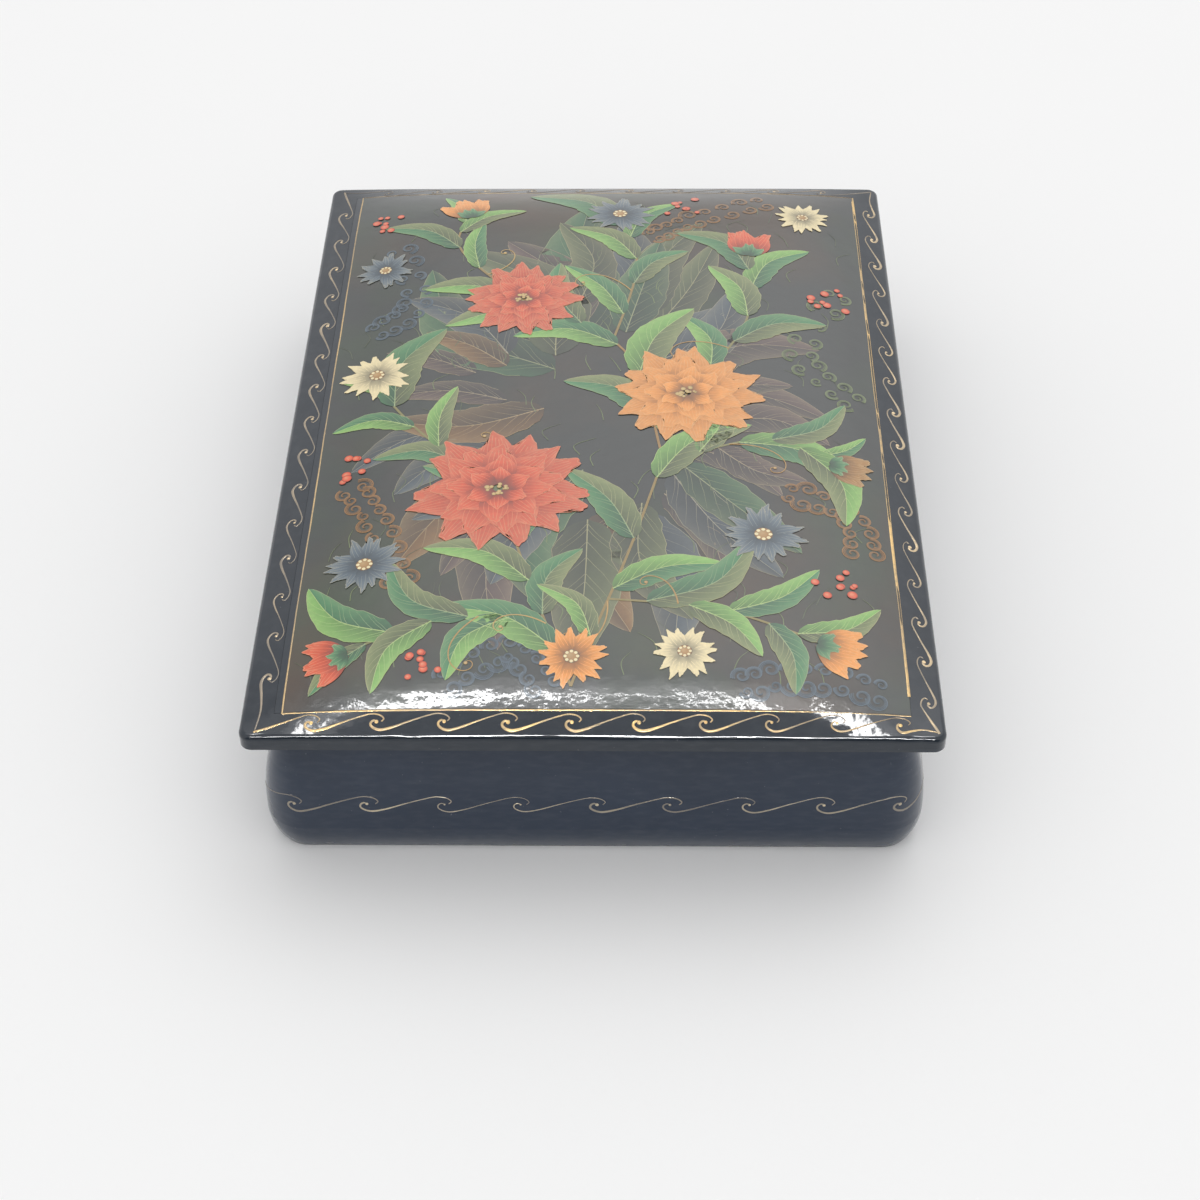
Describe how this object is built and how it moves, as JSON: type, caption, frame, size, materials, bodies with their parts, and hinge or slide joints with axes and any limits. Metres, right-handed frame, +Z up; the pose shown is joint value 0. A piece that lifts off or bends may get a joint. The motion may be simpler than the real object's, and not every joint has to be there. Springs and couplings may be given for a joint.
{
  "type": "lacquer box",
  "caption": "Rectangular black lacquer box with a bulging wall and a pillow-shaped overhanging lid on a barrel hinge, with gold running-wave bands and a framed picture on the lid.",
  "frame": {"origin": "on the table under the middle of the lid", "axes": "+X to the right seen from the front, +Y from the front to the hinge at the back, +Z up"},
  "size_m": [0.0984, 0.135, 0.0304],
  "materials": {
    "black_lacquer": "black gloss lacquer over papier-mache",
    "red_lacquer": "red lacquer over papier-mache",
    "gold_paint": "bronze-powder gold paint, brushed on in raised strokes",
    "picture": "painted sheet under clear lacquer",
    "steel_wire": "drawn wire"
  },
  "bodies": {
    "box": {"wall_shell": "black_lacquer", "base_board": "black_lacquer", "inner_sleeve": "red_lacquer", "body_knuckle_left": "black_lacquer", "body_knuckle_middle": "black_lacquer", "body_knuckle_right": "black_lacquer", "hinge_pin": "steel_wire", "pin_plug_left": "black_lacquer", "pin_plug_right": "black_lacquer"},
    "lid": {"lid_plate": "black_lacquer", "picture_sheet": "picture", "lid_knuckle_left": "black_lacquer", "lid_knuckle_right": "black_lacquer"}
  },
  "joints": [
    {"name": "lid_hinge", "type": "hinge", "parent": "box", "child": "lid", "pos_m": [0, 0.06424, 0.0201], "axis": [-1, 0, 0], "range_deg": [0, 105]}
  ]
}
